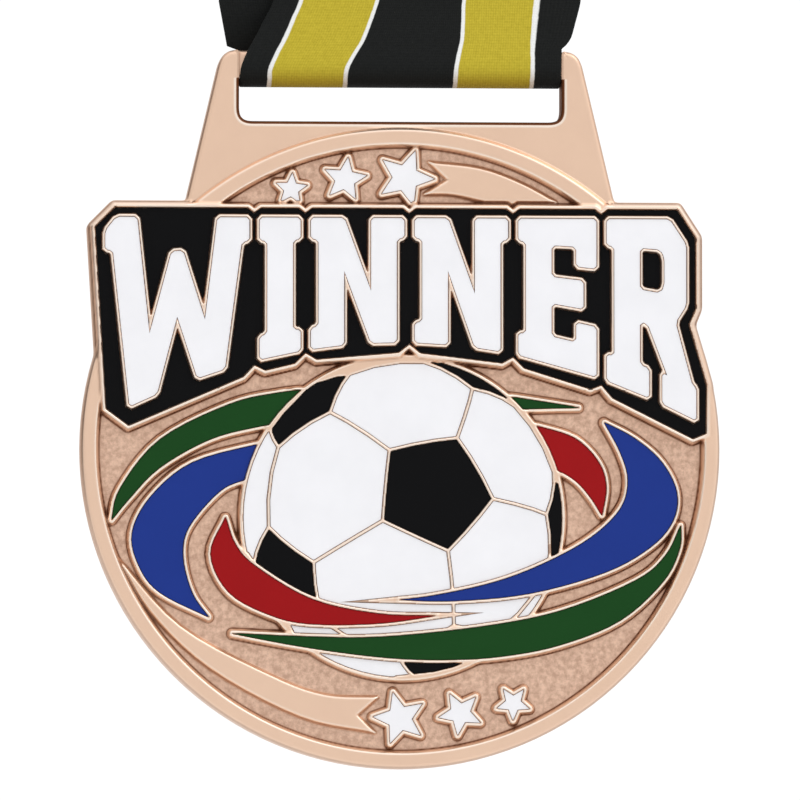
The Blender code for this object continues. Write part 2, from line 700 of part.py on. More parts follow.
for name, placing in STARS.items():
    piece = enamel(name, grown(star(*placing), -LINE), CELL_FLOOR, STAR_HEIGHT - ENAMEL_DROP, WHITE)
    trim(piece, BANNER, BANNER_BORDER)
for name, outline in OUTLINES.items():
    in_front = name in FRONT_SWOOSHES
    height = FRONT_SWOOSH_HEIGHT if in_front else BACK_SWOOSH_HEIGHT
    piece = enamel("swoosh_" + name, outline, CELL_FLOOR, height - ENAMEL_DROP,
                   SWOOSH_FINISH[name.split("_")[0]])
    if not in_front:
        trim(piece, BALL, LINE)
        keep_island(piece, np.mean(outline, axis=0))
for name, seed in BALL_PANELS.items():
    piece = enamel(name, grown(PANELS[name], -LINE / 2), CELL_FLOOR, BALL_HEIGHT - ENAMEL_DROP,
                   BLACK if "black" in name else WHITE)
    combine(piece, cutter(grown(BALL, -ENAMEL_GAP), 0, DEEP), "INTERSECT")
    for other in FRONT_SWOOSHES:
        trim(piece, OUTLINES[other], LINE)
    trim(piece, BANNER, BANNER_BORDER)
    keep_island(piece, np.array(seed) * ARTWORK)

ground = enamel("banner_ground", BANNER, BANNER_FLOOR, BANNER_ENAMEL_HEIGHT, BLACK)
for number, (_, _, outline, counter) in enumerate(PLACED, 1):
    trim(ground, outline, LETTER_LINE)
    piece = enamel(f"letter_{number}", outline, LETTER_FLOOR, LETTER_HEIGHT - ENAMEL_DROP, WHITE)
    if counter is not None:
        combine(piece, cutter(grown(counter, ENAMEL_GAP), 0, DEEP), "DIFFERENCE")
        enamel(f"letter_{number}_counter", grown(counter, -LETTER_LINE), BANNER_FLOOR,
               BANNER_ENAMEL_HEIGHT, BLACK)
settle(ground)


# The neck ribbon, the band round its hank and the seam that closes it into a loop.


def loft(name, sections, parent, material):
    """A closed solid through rings of points with the same count, in millimetres."""
    mesh = bpy.data.meshes.new(name)
    count = len(sections[0])
    points = [tuple(c * MM for c in point) for ring in sections for point in ring]
    faces = []
    for k in range(len(sections) - 1):
        for i in range(count):
            j = (i + 1) % count
            faces.append((k * count + i, k * count + j, (k + 1) * count + j, (k + 1) * count + i))
    last = (len(sections) - 1) * count
    faces += [tuple(range(count))[::-1], tuple(range(last, last + count))]
    mesh.from_pydata(points, [], faces)
    work = bmesh.new()
    work.from_mesh(mesh)
    bmesh.ops.recalc_face_normals(work, faces=work.faces)
    work.to_mesh(mesh)
    work.free()
    return new_object(name, mesh, parent, material)


def strand(side):
    """One strand's path from the bar up to the hank: (x, y, z) about the bar's axis.

    side is -1 for the front strand, which leans right, and 1 for the back one, which leans left."""
    straight = BAR_SIZE / 2 + 0.5
    high = STRAND_RISE - PIECE_GAP
    path = []
    for z in np.linspace(0, high, 12):
        closing = z / STRAND_RISE
        y = side * (FOLD_RADIUS + (STRAND_GAP / 2 - FOLD_RADIUS) * closing)
        lean = math.sin(math.pi * max(0.0, z - straight) / (STRAND_RISE - straight))
        path.append((-side * STRAND_LEAN * lean, y, z))
    return path


def ribbon_sections():
    """The strap's sections: down the front strand, round under the bar and up the back strand."""
    turn = [math.pi * k / 12 for k in range(1, 12)]
    fold = [(0, -FOLD_RADIUS * math.cos(a), -FOLD_RADIUS * math.sin(a)) for a in turn]
    path = np.array(strand(-1)[::-1] + fold + strand(1))
    ahead = np.gradient(path, axis=0)
    sections = []
    for (x, y, z), (_, dy, dz) in zip(path, ahead):
        out = np.array([0, dz, -dy]) / math.hypot(dy, dz) * RIBBON_THICKNESS / 2
        half = RIBBON_WIDTH / 2
        corners = [(-half, -1), (half, -1), (half, 1), (-half, 1)]
        sections.append([(x + w, y + s * out[1], z + s * out[2]) for w, s in corners])
    return sections


loft("neck_ribbon", ribbon_sections(), medal_pivot, RIBBON)

# The first run of the hank carries on from the strands, and the rest are folded behind it.
HANK_FRONT = -HANK_LAYER * 1.5
HANK_BACK = HANK_FRONT + HANK_THICKNESS
HANK_MIDDLE = (HANK_FRONT + HANK_BACK) / 2


def block_ring(half_width, half_depth, corner, z):
    """A rectangle with rounded corners about the hank's middle line, at the height z."""
    corners = [(-half_width, -half_depth), (half_width, -half_depth), (half_width, half_depth),
               (-half_width, half_depth)]
    return [(x, y + HANK_MIDDLE, z) for x, y in rounded(corners, corner, 3)]


half = HANK_THICKNESS / 2
turns = np.linspace(-math.pi / 2, 0, 5)[1:]
bottom = [(HANK_BEND * (1 + math.sin(a)), half - HANK_BEND * (1 - math.cos(a))) for a in turns]
levels = bottom + [(HANK_HEIGHT - low, depth) for low, depth in bottom[::-1]]
rings = [block_ring(RIBBON_WIDTH / 2, depth, HANK_CORNER, low - HANK_HEIGHT) for low, depth in levels]
loft("ribbon_hank", rings, hang_point, RIBBON)

band_low = -HANK_HEIGHT / 2 - BAND_WIDTH / 2
inner = (RIBBON_WIDTH / 2 + PIECE_GAP, half + PIECE_GAP)
outer = (inner[0] + BAND_THICKNESS, inner[1] + BAND_THICKNESS)
ends = (band_low, band_low + BAND_WIDTH)
band = loft("hank_band", [block_ring(*outer, BAND_CORNER, z) for z in ends], hang_point, ELASTIC)
beyond = (ends[0] - 1, ends[1] + 1)
hole = loft("cutter", [block_ring(*inner, BAND_CORNER / 2, z) for z in beyond], hang_point, ELASTIC)
hole.hide_render = True
hole.display_type = "WIRE"
combine(band, hole, "DIFFERENCE")

seam_width, seam_height, seam_depth = STITCH_SIZE
seam_low = band_low - seam_height - SEAM_BELOW_BAND
seam_y = HANK_BACK + PIECE_GAP
seam = [
    (-seam_width / 2, seam_y), (seam_width / 2, seam_y), (seam_width / 2, seam_y + seam_depth),
    (-seam_width / 2, seam_y + seam_depth),
]
rings = [[(x, y, z) for x, y in seam] for z in (seam_low, seam_low + seam_height)]
loft("seam_stitching", rings, hang_point, THREAD)
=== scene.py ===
"""Looks of a sports medal on a folded neck ribbon: cast and plated metal, poured enamel and woven cloth."""

import json
import math

import bpy
import numpy as np
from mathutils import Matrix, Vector
from mathutils.geometry import tessellate_polygon


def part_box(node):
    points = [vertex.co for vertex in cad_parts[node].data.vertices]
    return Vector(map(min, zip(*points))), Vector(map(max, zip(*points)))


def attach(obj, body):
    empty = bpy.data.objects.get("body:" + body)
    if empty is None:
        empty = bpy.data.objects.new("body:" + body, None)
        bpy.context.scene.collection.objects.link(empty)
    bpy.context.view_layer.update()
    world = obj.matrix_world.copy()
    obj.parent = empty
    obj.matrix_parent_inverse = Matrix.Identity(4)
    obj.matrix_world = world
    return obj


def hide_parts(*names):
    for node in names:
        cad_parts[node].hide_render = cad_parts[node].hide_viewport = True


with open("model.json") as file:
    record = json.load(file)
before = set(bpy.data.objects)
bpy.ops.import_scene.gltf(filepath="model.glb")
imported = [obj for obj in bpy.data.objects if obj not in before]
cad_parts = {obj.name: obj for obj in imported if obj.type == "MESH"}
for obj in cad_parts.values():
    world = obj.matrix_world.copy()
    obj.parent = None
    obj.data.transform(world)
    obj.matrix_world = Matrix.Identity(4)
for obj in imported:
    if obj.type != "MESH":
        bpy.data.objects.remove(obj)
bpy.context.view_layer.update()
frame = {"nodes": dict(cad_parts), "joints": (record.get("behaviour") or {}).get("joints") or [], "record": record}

MM = 0.001
nodes = frame["nodes"]


# ---- The cast plate ------------------------------------------------------------------------------
# A zinc casting plated in antique bronze. Its face is one surface of rounded relief: each raised
# shape swells out of the field, and a pocket sinks wherever enamel is poured.
plate_low, plate_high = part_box("medal_body")
DISC = -plate_low.x / MM
BACK = plate_high.y / MM
CENTRE = plate_low.z / MM + DISC
RIM = 2.0
GRID = 0.125
# Heights above the flat back of the sunk field and of all that stands on it.
FIELD, TAIL, HEAD, RIM_TOP = 3.2, 3.8, 4.0, 4.6
STAR_TOP, BACK_SWOOSH, BALL, FRONT_SWOOSH, BANNER, LETTER = 4.1, 4.15, 4.3, 4.45, 4.9, 5.2
FRONT_SWOOSHES = ("swoosh_red_left", "swoosh_blue_right", "swoosh_green_bottom")
# Widths of the metal left standing round the enamel, and depths of the pockets below its surface.
LINE, LETTER_LINE, BORDER = 0.41, 0.36, 0.5
POCKET, BANNER_POCKET = 0.6, 0.3
BALL_CENTRE, BALL_RADIUS = (0.24, -8.2), 18.95
EDGE_ROUND, BACK_ROUND = 0.55, 0.4


def triangles(node):
    """A node's triangles as (x, height, z) in mm: x and z about the disc's centre, height from its back."""
    mesh = nodes[node].data
    points = np.empty(len(mesh.vertices) * 3)
    mesh.vertices.foreach_get("co", points)
    x, y, z = points.reshape(-1, 3).T / MM
    mesh.calc_loop_triangles()
    corners = np.empty(len(mesh.loop_triangles) * 3, np.int32)
    mesh.loop_triangles.foreach_get("vertices", corners)
    return np.stack([x, BACK - y, z - CENTRE], axis=1)[corners].reshape(-1, 3, 3)


def level_loops(node, height):
    """The outlines of a node's flat faces at one height: the edges that only one triangle has, chained."""
    found = triangles(node)
    flat = found[np.abs(found[:, :, 1] - height).max(axis=1) < 0.004][:, :, [0, 2]]
    keys = np.round(flat * 500).astype(int)
    ends = {}
    for a, b, c in keys:
        for start, end in ((a, b), (b, c), (c, a)):
            start, end = tuple(start), tuple(end)
            if start == end:
                continue
            if start in ends.get(end, ()):
                ends[end].remove(start)
            else:
                ends.setdefault(start, []).append(end)
    loops = []
    while any(ends.values()):
        here = next(k for k, v in ends.items() if v)
        loop = [here]
        while ends.get(loop[-1]):
            loop.append(ends[loop[-1]].pop())
        loops.append(np.array(loop[:-1]) / 500)
    return [loop for loop in loops if len(loop) > 2]


def loop_area(loop):
    """Half the sum of the cross products of each point with the next: positive when anticlockwise."""
    x, z = loop.T
    return 0.5 * np.sum(x * np.roll(z, -1) - np.roll(x, -1) * z)


def signed_distance(x, z, loops):
    """The distance to the nearest edge of the loops, negative where a ray crosses an odd number of edges."""
    nearest = np.full(x.shape, 1e9)
    odd = np.zeros(x.shape, bool)
    for loop in loops:
        for (ax, az), (bx, bz) in zip(loop, np.roll(loop, -1, axis=0)):
            ex, ez = bx - ax, bz - az
            px, pz = x - ax, z - az
            t = np.clip((px * ex + pz * ez) / (ex * ex + ez * ez + 1e-12), 0, 1)
            np.minimum(nearest, (px - t * ex) ** 2 + (pz - t * ez) ** 2, out=nearest)
            if az != bz:
                spans = (az > z) != (bz > z)
                odd ^= spans & (ax + (z - az) * ex / ez > x)
    return np.sqrt(nearest) * np.where(odd, -1, 1)


grid_x = np.arange(-DISC - 0.5, DISC + 0.5, GRID)
grid_z = np.arange(-DISC - 0.5, (plate_high.z / MM - CENTRE) + 0.5, GRID)
X, Z = np.meshgrid(grid_x, grid_z)
radius = np.hypot(X, Z)


def distance_map(loops, reach=2.0):
    """The signed distance over the whole grid, worked out only near the loops and capped at the reach."""
    everything = np.vstack(loops)
    low, high = everything.min(axis=0) - reach, everything.max(axis=0) + reach
    columns = np.flatnonzero((grid_x > low[0]) & (grid_x < high[0]))
    rows = np.flatnonzero((grid_z > low[1]) & (grid_z < high[1]))
    patch = np.s_[rows[0]:rows[-1] + 1, columns[0]:columns[-1] + 1]
    found = np.full(X.shape, reach)
    found[patch] = np.minimum(reach, signed_distance(X[patch], Z[patch], loops))
    return found


def swell(distance, inside, outside):
    """1 inside a raised shape and 0 beyond its foot: (1 - t^2)^1.5, t from 0 at inside to 1 at outside."""
    t = np.clip((distance + inside) / (inside + outside), 0, 1)
    return (1 - t * t) ** 1.5


enamel_nodes = [n for n in nodes if n.startswith(("ball_", "swoosh_", "star_", "letter_", "banner_"))]
enamel_top = {n: triangles(n)[:, :, 1].max() for n in enamel_nodes}
cells = {n: level_loops(n, enamel_top[n]) for n in enamel_nodes}
cell_distance = {n: distance_map(loops) for n, loops in cells.items()}


def nearest_of(names):
    """The signed distance to the nearest outline among several nodes' outlines."""
    return np.minimum.reduce([cell_distance[n] for n in names])


def raised(ground, distance, height, inside=0.16, outside=0.28):
    """The higher of the ground and a shape that swells up from it to the height."""
    return np.maximum(ground, ground + (height - ground) * swell(distance, inside, outside))


relief = np.where(radius < DISC - RIM / 2, FIELD, HEAD)
relief = raised(relief, np.maximum(DISC - RIM - radius, radius - DISC), RIM_TOP, 0.3, 0.25)
tail_loops = [loop for loop in level_loops("medal_body", TAIL) if abs(loop_area(loop)) > 3]
relief = raised(relief, distance_map(tail_loops), TAIL, 0.25, 0.3)
for name in enamel_nodes:
    if name.startswith("star_"):
        relief = raised(relief, cell_distance[name] - LINE, STAR_TOP)
    if name.startswith("swoosh_") and name not in FRONT_SWOOSHES:
        relief = raised(relief, cell_distance[name] - LINE, BACK_SWOOSH)
ball_distance = np.hypot(X - BALL_CENTRE[0], Z - BALL_CENTRE[1]) - BALL_RADIUS
relief = raised(relief, ball_distance - LINE, BALL)
for name in FRONT_SWOOSHES:
    relief = raised(relief, cell_distance[name] - LINE, FRONT_SWOOSH)
banner_loop = max(cells["banner_ground"], key=lambda loop: abs(loop_area(loop)))
relief = raised(relief, distance_map([banner_loop]) - BORDER, BANNER, 0.2, 0.25)
letters = [n for n in enamel_nodes if n.startswith("letter_") and not n.endswith("counter")]
relief = raised(relief, nearest_of(letters) - LETTER_LINE, LETTER, 0.14, 0.34)
for name in enamel_nodes:
    bottom = enamel_top[name] - (BANNER_POCKET if name in ("banner_ground", "letter_6_counter") else POCKET)
    kept = 1 - swell(cell_distance[name], 0.25, 0.15)
    relief = np.minimum(relief, bottom + (relief - bottom) * np.clip(kept, 0, 1))


# The patina that stays in hollows, and the polish on edges with its painted highlight, both come
# from how a spot stands against the mean height around it.
def blurred(values, cells):
    """The mean over a square of cells each way, worked out from running sums along both directions."""
    for axis in (0, 1):
        padded = np.pad(values, [(cells + 1, cells) if a == axis else (0, 0) for a in (0, 1)], "edge")
        total = np.cumsum(padded, axis=axis)
        count = 2 * cells + 1
        far, near = np.roll(total, -count, axis=axis), total
        keep = tuple(slice(0, values.shape[a]) if a == axis else slice(None) for a in (0, 1))
        values = ((far - near) / count)[keep]
    return values


filled = relief.copy()
for name in enamel_nodes:
    filled = np.where(cell_distance[name] < 0, np.maximum(filled, enamel_top[name]), filled)
stands = filled - blurred(blurred(filled, 1), 1)
stands_wide = filled - blurred(blurred(filled, 5), 4)
cavity = np.clip(-stands / 0.11 - 0.25, 0, 1) * 0.7 + np.clip(-stands_wide / 0.5, 0, 1) * 0.1
polish_and_highlight = np.clip(stands / 0.08 - 0.1, 0, 1)
grained = swell(blurred(np.abs(filled - FIELD), 1) - 0.05, 0.05, 0.15)
# The thin lines between the ball's panels are darker all over, with little of the pale edge colour.
all_cells = nearest_of(enamel_nodes)
ball_cells = nearest_of([n for n in enamel_nodes if n.startswith("ball_")])
seams = (ball_cells > -0.1) & (ball_cells < 0.3) & (blurred((ball_cells < 0).astype(float), 2) > 0.35)
cavity = np.where(seams, np.maximum(cavity, 0.42), cavity)
polish_and_highlight = np.where(seams, polish_and_highlight * 0.25, polish_and_highlight)


def sampled(values, x, z):
    """The grid's values at any points, read linearly between the four nearest."""
    column = np.clip((x - grid_x[0]) / GRID, 0, len(grid_x) - 1.001)
    row = np.clip((z - grid_z[0]) / GRID, 0, len(grid_z) - 1.001)
    i, j = row.astype(int), column.astype(int)
    s, t = row - i, column - j
    low = values[i, j] * (1 - t) + values[i, j + 1] * t
    high = values[i + 1, j] * (1 - t) + values[i + 1, j + 1] * t
    return low * (1 - s) + high * s


def quads(*corners):
    """Faces as rows of four corners, from four arrays of point numbers that broadcast together."""
    return np.stack(np.broadcast_arrays(*corners), axis=-1).reshape(-1, 4)


def finished_mesh(name, points, faces, attributes=None, uv=None):
    """A mesh object from arrays: points in metres, faces as rows of corners, values kept on its points."""
    mesh = bpy.data.meshes.new(name)
    faces = [np.asarray(f, np.int32) for f in (faces if isinstance(faces, list) else [faces])]
    corners = np.concatenate([f.ravel() for f in faces])
    totals = np.concatenate([np.full(len(f), f.shape[1], np.int32) for f in faces])
    mesh.vertices.add(len(points))
    mesh.vertices.foreach_set("co", np.asarray(points, np.float32).ravel())
    mesh.loops.add(len(corners))
    mesh.loops.foreach_set("vertex_index", corners)
    mesh.polygons.add(len(totals))
    mesh.polygons.foreach_set("loop_start", np.concatenate([[0], np.cumsum(totals)[:-1]]).astype(np.int32))
    mesh.polygons.foreach_set("loop_total", totals)
    mesh.update(calc_edges=True)
    for key, values in (attributes or {}).items():
        attribute = mesh.attributes.new(key, "FLOAT", "POINT")
        attribute.data.foreach_set("value", np.asarray(values, np.float32).ravel())
    if uv is not None:
        layer = mesh.uv_layers.new(name="UVMap")
        layer.data.foreach_set("uv", np.asarray(uv, np.float32)[corners].ravel())
    mesh.polygons.foreach_set("use_smooth", np.full(len(totals), True))
    mesh.validate()
    obj = bpy.data.objects.new(name, mesh)
    bpy.context.scene.collection.objects.link(obj)
    return obj


def placed(x, height, z):
    """Disc coordinates and heights in mm as points in the frame, in metres."""
    return np.stack([np.ravel(x), BACK - np.ravel(height), np.ravel(z) + CENTRE], axis=1) * MM


def node_tools(tree):
    """Two functions that add a node with its settings to a tree and link two of its sockets."""
    def add(kind, **settings):
        node = tree.nodes.new(kind)
        for key, value in settings.items():
            if key in node.inputs:
                node.inputs[key].default_value = value
            else:
                setattr(node, key, value)
        return node

    def link(source, target):
        tree.links.new(source, target)

    return add, link


def node_material(name):
    """A new material with its shader and its node tools."""
    material = bpy.data.materials.new(name)
    material.use_nodes = True
    return material, material.node_tree.nodes["Principled BSDF"], *node_tools(material.node_tree)


def ramp(add, link, source, stops):
    """A colour ramp over a value: (position, colour) pairs."""
    node = add("ShaderNodeValToRGB")
    elements = node.color_ramp.elements
    while len(elements) > len(stops):
        elements.remove(elements[-1])
    while len(elements) < len(stops):
        elements.new(1.0)
    for element, (position, colour) in zip(elements, stops):
        element.position = position
        element.color = (*colour, 1)
    link(source, node.inputs["Fac"])
    return node.outputs["Color"]


def noise(add, link, vector, scale, detail=4.0, roughness=0.6):
    """Fractal noise over a vector, as 0 to 1."""
    node = add("ShaderNodeTexNoise", Scale=scale, Detail=detail, Roughness=roughness)
    link(vector, node.inputs["Vector"])
    return node.outputs["Fac"]


def mixed(add, link, factor, first, second):
    """A colour mix: each of factor, first and second is a socket or a plain value."""
    node = add("ShaderNodeMix", data_type="RGBA")
    for value, socket in ((factor, node.inputs[0]), (first, node.inputs[6]), (second, node.inputs[7])):
        if isinstance(value, bpy.types.NodeSocket):
            link(value, socket)
        else:
            socket.default_value = value if socket is node.inputs[0] else (*value, 1)
    return node.outputs[2]


def maths(add, link, operation, first, second=0.0):
    """One sum on values or sockets."""
    node = add("ShaderNodeMath", operation=operation)
    for index, value in enumerate((first, second)):
        if isinstance(value, bpy.types.NodeSocket):
            link(value, node.inputs[index])
        else:
            node.inputs[index].default_value = value
    return node.outputs[0]


# The plating: worn high spots are pale and smooth, partly real wear and partly a painted highlight;
# hollows keep brown patina, the same mix paints shade in the slot and darkens the plate's outer edge,
# and the field is grained.
bronze, shader, add, link = node_material("antique_bronze")
place = add("ShaderNodeTexCoord").outputs["Object"]
hollow_and_shade = add("ShaderNodeAttribute", attribute_name="cavity").outputs["Fac"]
worn_and_highlit = add("ShaderNodeAttribute", attribute_name="polish_and_highlight").outputs["Fac"]
grain = add("ShaderNodeAttribute", attribute_name="grained").outputs["Fac"]
blotch = noise(add, link, place, 160.0, 5.0, 0.6)
fine = noise(add, link, place, 3800.0, 2.0, 0.7)
speckle = noise(add, link, place, 1500.0, 3.0, 0.7)
plain = mixed(add, link, blotch, (0.85, 0.59, 0.43), (0.93, 0.66, 0.48))
sand = add("ShaderNodeMapRange", **{"From Min": 0.36, "From Max": 0.66})
link(speckle, sand.inputs[0])
field = mixed(add, link, sand.outputs[0], (0.60, 0.385, 0.275), (0.86, 0.595, 0.44))
metal = mixed(add, link, grain, plain, field)
# Pale cream on worn high spots: partly real wear, partly a painted highlight.
metal = mixed(add, link, worn_and_highlit, metal, (0.98, 0.84, 0.71))
patchy = maths(add, link, "ADD", maths(add, link, "MULTIPLY", speckle, 0.5), 0.75)
dark = maths(add, link, "MULTIPLY", hollow_and_shade, patchy)
patina_and_shade = ramp(add, link, dark, [(0.0, (0, 0, 0)), (0.25, (0.22, 0.22, 0.22)), (0.8, (1, 1, 1))])
link(mixed(add, link, patina_and_shade, metal, (0.16, 0.055, 0.022)), shader.inputs["Base Color"])
shader.inputs["Metallic"].default_value = 1.0
rough = maths(add, link, "ADD", maths(add, link, "MULTIPLY", grain, 0.14), 0.34)
rough = maths(add, link, "ADD", rough, maths(add, link, "MULTIPLY", dark, 0.2))
link(rough, shader.inputs["Roughness"])
bumps = add("ShaderNodeBump", Strength=0.4, Distance=0.00005)
depth = maths(add, link, "ADD", maths(add, link, "MULTIPLY", grain, 0.8), 0.2)
link(maths(add, link, "MULTIPLY", fine, depth), bumps.inputs["Height"])
link(bumps.outputs["Normal"], shader.inputs["Normal"])


# The face, as two surfaces on the grid: quads outside the plate or deep under enamel are left out.
back_loops = level_loops("medal_body", 0.0)
silhouette = max(back_loops, key=lambda loop: abs(loop_area(loop)))
if loop_area(silhouette) < 0:
    silhouette = silhouette[::-1]


def resampled(loop, spacing):
    """Points evenly spaced along a closed loop."""
    closed = np.vstack([loop, loop[:1]])
    along = np.concatenate([[0], np.cumsum(np.linalg.norm(np.diff(closed, axis=0), axis=1))])
    t = np.linspace(0, along[-1], int(along[-1] / spacing), endpoint=False)
    return np.stack([np.interp(t, along, closed[:, k]) for k in (0, 1)], axis=1)


outline = resampled(silhouette, 0.2)
for _ in range(3):
    outline = (np.roll(outline, 1, axis=0) + outline + np.roll(outline, -1, axis=0)) / 3
ahead = np.roll(outline, -1, axis=0) - np.roll(outline, 1, axis=0)
inward = np.stack([-ahead[:, 1], ahead[:, 0]], axis=1) / np.linalg.norm(ahead, axis=1, keepdims=True)
edge_distance = distance_map([resampled(outline, 0.6)])


def rounded_edge(depth):
    """How far the face drops near the plate's edge: a quarter circle that is EDGE_ROUND wide."""
    t = np.clip(1 - depth / EDGE_ROUND, 0, 1)
    return EDGE_ROUND * 0.8 * (1 - np.sqrt(np.clip(1 - t * t, 0, 1)))


FROM_EDGE, UNDER_ENAMEL, SPLIT = 0.62, 0.3, 7.0
wear = {"cavity": cavity, "polish_and_highlight": polish_and_highlight, "grained": grained}
used = (edge_distance < -FROM_EDGE) & (all_cells > -UNDER_ENAMEL)
whole = used[:-1, :-1] & used[1:, :-1] & used[:-1, 1:] & used[1:, 1:]
for name, wanted in (("plate_face_lower", Z[:-1, :-1] < SPLIT), ("plate_face_upper", Z[:-1, :-1] >= SPLIT)):
    i, j = np.nonzero(whole & wanted)
    width = X.shape[1]
    first = i * width + j
    kept, index = np.unique(quads(first, first + 1, first + 1 + width, first + width), return_inverse=True)
    points = placed(X.ravel()[kept], relief.ravel()[kept], Z.ravel()[kept])
    values = {key: grid.ravel()[kept] for key, grid in wear.items()}
    piece = finished_mesh(name, points, index.reshape(-1, 4), values)
    piece.data.materials.append(bronze)
    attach(piece, "medal")

# The plate's edge: one strip carried round the outline, from the face over the rounded edge, down
# the wall and round onto the back. Beside the bar the face runs level onto the bar.
SLOT_END, SLOT_HEIGHT, BAR_DEPTH = 19.6, 4.6, 3.3
SUNK_AT_BAR, SUNK_WHERE_CROWDED, SKIN = 0.02, 0.05, 0.004
bar_high = plate_high.z / MM - CENTRE
slot_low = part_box("neck_ribbon")[0].z / MM - CENTRE - SLOT_HEIGHT
by_slot = np.abs(outline[:, 0]) < SLOT_END
by_bar = by_slot & (outline[:, 1] > bar_high - BAR_DEPTH)
in_slot = by_slot & (outline[:, 1] > slot_low) & ~by_bar
inset = [0.85, 0.72, EDGE_ROUND, 0.42, 0.3, 0.2, 0.12, 0.06, 0.02, 0.0]
rings = [(outline[:, 0] + inward[:, 0] * s, outline[:, 1] + inward[:, 1] * s, s) for s in inset]
columns = []
for x, z, s in rings:
    depth = np.clip(-sampled(edge_distance, x, z), 0, s)
    crowded = SUNK_WHERE_CROWDED * (s - depth > 0.08)
    lowered = np.where(by_bar, SUNK_AT_BAR, rounded_edge(depth)) + crowded
    columns.append((x, sampled(relief, x, z) - lowered + SKIN, z))
wall_top = columns[-1][1]
for share in (0.12, 0.5, 0.88):
    columns.append((outline[:, 0], wall_top + (BACK_ROUND - wall_top) * share, outline[:, 1]))
for angle in np.radians([0, 22.5, 45, 67.5, 90]):
    s = BACK_ROUND * (1 - math.cos(angle))
    x, z = outline[:, 0] + inward[:, 0] * s, outline[:, 1] + inward[:, 1] * s
    columns.append((x, np.full(len(x), BACK_ROUND * (1 - math.sin(angle))), z))
count = len(outline)
start = np.arange(count)
step = (start + 1) % count
k = np.arange(len(columns) - 1)[:, None] * count
faces = quads(start + k, start + k + count, step + k + count, step + k)
points = np.vstack([placed(*column) for column in columns])

# Inside the slot the walls are painted dark, partly patina and partly painted shade, and the rim of
# the opening is rubbed bright with a painted highlight.
SLOT_DARK = 0.95
walls = {
    "cavity": np.where(in_slot, SLOT_DARK, 0.12),
    "polish_and_highlight": np.zeros(count),
    "grained": np.full(count, 0.2),
}
values = {}
for key, grid in wear.items():
    on_face = []
    for x, z, s in rings:
        value = sampled(grid, x, z)
        # The slot's inner rings get painted shade, a ring at its rim a painted highlight, and the face's outermost
        # rings are painted darker.
        if key == "cavity":
            value = np.where(in_slot, SLOT_DARK * (s < 0.35), np.maximum(value, 0.3 * (s < 0.25)))
        if key == "polish_and_highlight":
            value = np.where(in_slot, float(0.35 <= s < 0.7), value * 0.5)
        on_face.append(value)
    values[key] = np.concatenate(on_face + [walls[key]] * (len(columns) - len(rings)))
plate_edge = finished_mesh("plate_edge", points, faces, values)
plate_edge.data.materials.append(bronze)
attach(plate_edge, "medal")
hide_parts("medal_body")


def even_wear(count, cavity, grained):
    """The same patina and grain all over a surface, with neither polish nor painted highlight."""
    return {"cavity": np.full(count, cavity), "polish_and_highlight": np.zeros(count), "grained": np.full(count, grained)}


# The back: flat, with a shallow round recess that has a rounded wall.
RECESS = 0.4
large_loops = [loop for loop in back_loops if abs(loop_area(loop)) > 100]
recess_radius = math.sqrt(min(abs(loop_area(loop)) for loop in large_loops) / math.pi)
turn = np.linspace(0, 2 * math.pi, 180, endpoint=False)
steps = [(0.25, 0.0), (0.1, 0.03), (0.0, 0.12), (-0.08, 0.28), (-0.22, 0.37), (-0.45, RECESS), (-4, RECESS)]
circles = [(recess_radius + out, height) for out, height in steps]
circles += [(r, RECESS) for r in (22.0, 14.0, 7.0, 2.0)]
border = np.stack([columns[-1][0], columns[-1][2]], axis=1)[::3]
hole = circles[0][0] * np.stack([np.cos(turn), np.sin(turn)], axis=1)[::-1]
flat = np.array(tessellate_polygon([[Vector((x, z, 0)) for x, z in loop] for loop in (border, hole)]))
points = [placed(loop[:, 0], np.zeros(len(loop)), loop[:, 1]) for loop in (border, hole)]
points += [placed(r * np.cos(turn), np.full(len(turn), h), r * np.sin(turn)) for r, h in circles[1:]]
points = np.vstack(points + [placed([0.0], [RECESS], [0.0])])
first = len(border) + len(hole)
levels = [first - 1 - np.arange(len(hole))]
levels += [first + k * len(turn) + np.arange(len(turn)) for k in range(len(circles) - 1)]
recessed = np.vstack([quads(a, np.roll(a, -1), np.roll(b, -1), b) for a, b in zip(levels, levels[1:])])
last = len(points) - 1
fan = np.stack([levels[-1], np.roll(levels[-1], -1), np.full(len(turn), last)], axis=1)
plate_back = finished_mesh("plate_back", points, [flat, fan, recessed], even_wear(len(points), 0.12, 0.55))
plate_back.data.materials.append(bronze)
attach(plate_back, "medal")


# The bar over the slot, a rounded section carried from ear to ear. The ribbon's fold hides most of it.
def squircle(a, power=0.38):
    """cos and sin raised to a low power and kept signed: a circle squared off towards a rounded square."""
    return np.sign(np.cos(a)) * np.abs(np.cos(a)) ** power, np.sign(np.sin(a)) * np.abs(np.sin(a)) ** power


BAR_REACH, BAR_INSET = 19.9, 0.06
AROUND, ALONG = 40, 30
forward, up = squircle(np.linspace(0, 2 * math.pi, AROUND, endpoint=False))
bar_x = np.repeat(np.linspace(-BAR_REACH, BAR_REACH, ALONG), AROUND)
bar_height = np.tile(HEAD / 2 + forward * (HEAD / 2 - BAR_INSET), ALONG)
bar_z = np.tile(bar_high - BAR_DEPTH / 2 + up * (BAR_DEPTH / 2 - BAR_INSET), ALONG)
k = np.arange(ALONG - 1)[:, None] * AROUND
start = np.arange(AROUND)
step = (start + 1) % AROUND
sides = quads(k + start, k + step, k + step + AROUND, k + start + AROUND)
ends = np.array([start[::-1], (ALONG - 1) * AROUND + start])
points = placed(bar_x, bar_height, bar_z)
plate_bar = finished_mesh("plate_bar", points, [sides, ends], even_wear(len(points), 0.15, 0.2))
plate_bar.data.materials.append(bronze)
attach(plate_bar, "medal")
